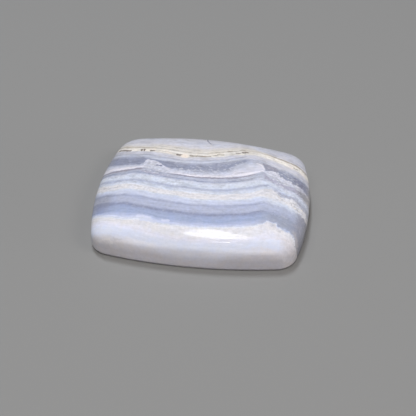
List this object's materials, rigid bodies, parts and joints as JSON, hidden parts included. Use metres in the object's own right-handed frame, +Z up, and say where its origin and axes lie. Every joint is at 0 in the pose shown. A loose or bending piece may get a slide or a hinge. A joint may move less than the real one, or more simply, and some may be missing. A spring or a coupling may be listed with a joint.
{
  "type": "blue lace agate cabochon",
  "caption": "Cushion-shaped cabochon of banded pale blue and white agate, with a low polished dome and a flat back that rests on a surface or sits in a setting.",
  "frame": {"origin": "middle of the flat back, where the stone rests", "axes": "+X along the stone's length towards its narrower end, +Y across it, +Z up from the flat back through the dome"},
  "size_m": [0.03, 0.0244, 0.0064],
  "materials": {
    "agate": "polished banded agate, glossy dome and duller flat back"
  },
  "bodies": {
    "root": {"cabochon": "agate"}
  },
  "joints": []
}
